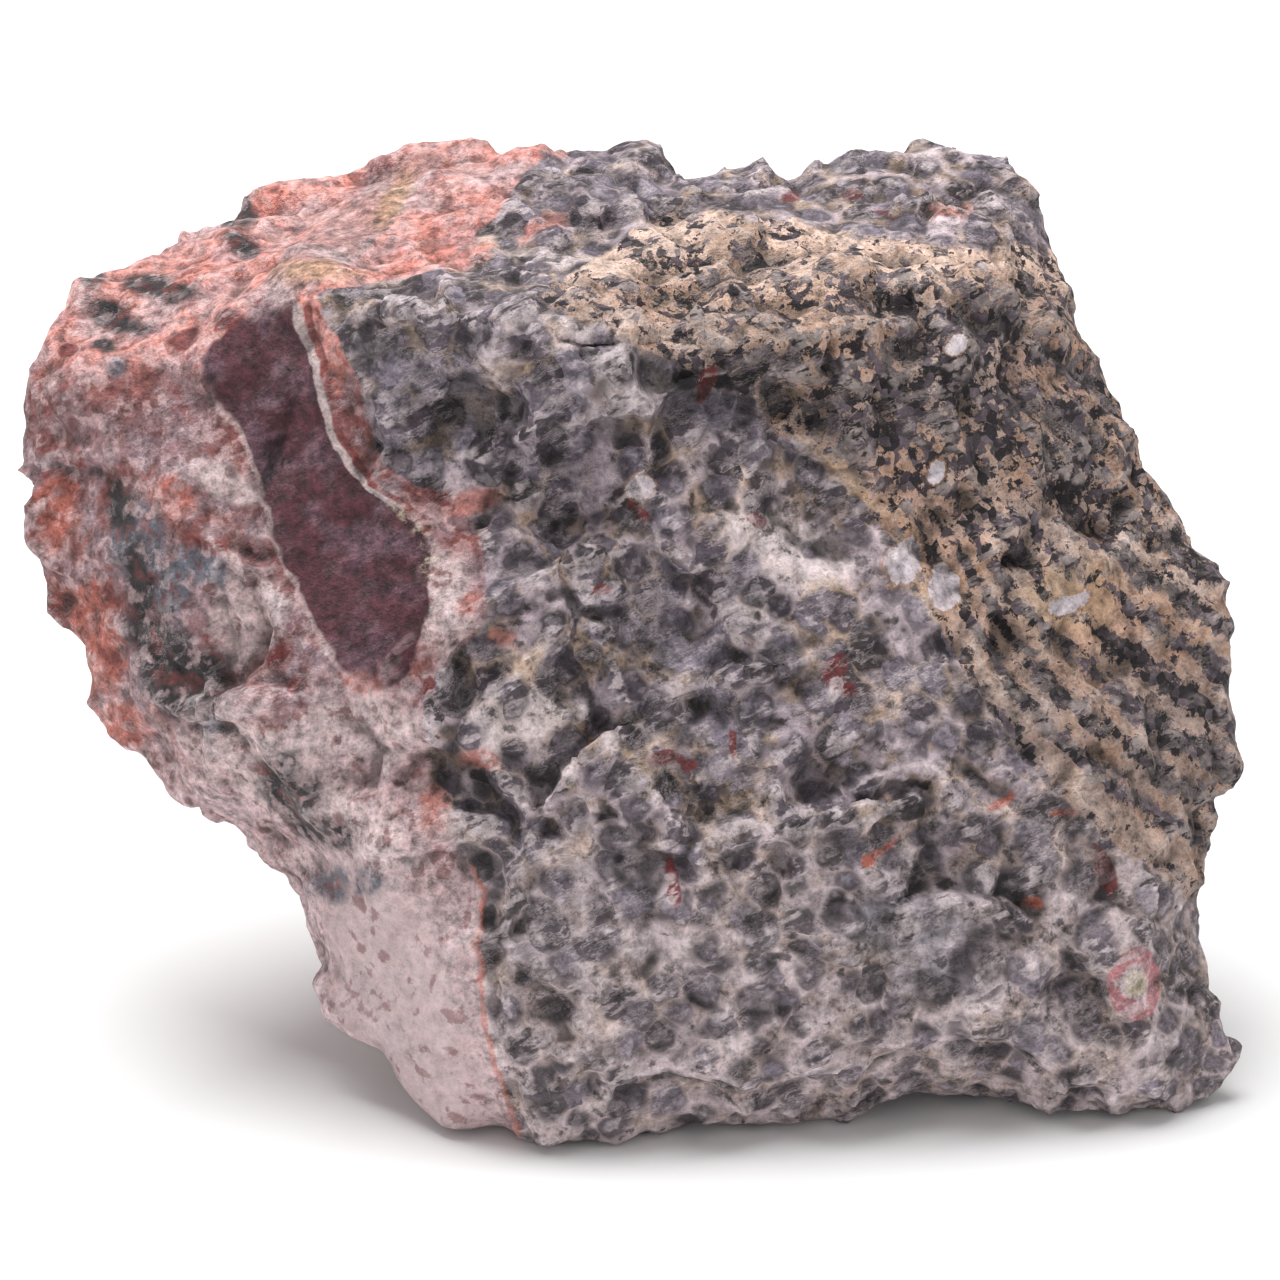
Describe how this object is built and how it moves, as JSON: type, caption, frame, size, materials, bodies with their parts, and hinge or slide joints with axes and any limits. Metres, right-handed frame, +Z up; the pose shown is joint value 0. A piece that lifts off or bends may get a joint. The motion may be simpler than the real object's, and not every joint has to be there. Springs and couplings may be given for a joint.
{
  "type": "leopard skin jasper",
  "caption": "Rough broken piece of leopard skin jasper with pink, red-brown and grey-spotted zones, standing on a small flat spot.",
  "frame": {"origin": "under the middle of the stone's box, on the level that it rests on", "axes": "+X to the right and +Y away from someone who faces the spotted front, +Z up"},
  "size_m": [0.0822, 0.0472, 0.0574],
  "materials": {
    "jasper": "rough broken stone, dull with a few small glints"
  },
  "bodies": {
    "root": {"jasper_stone": "jasper"}
  },
  "joints": []
}
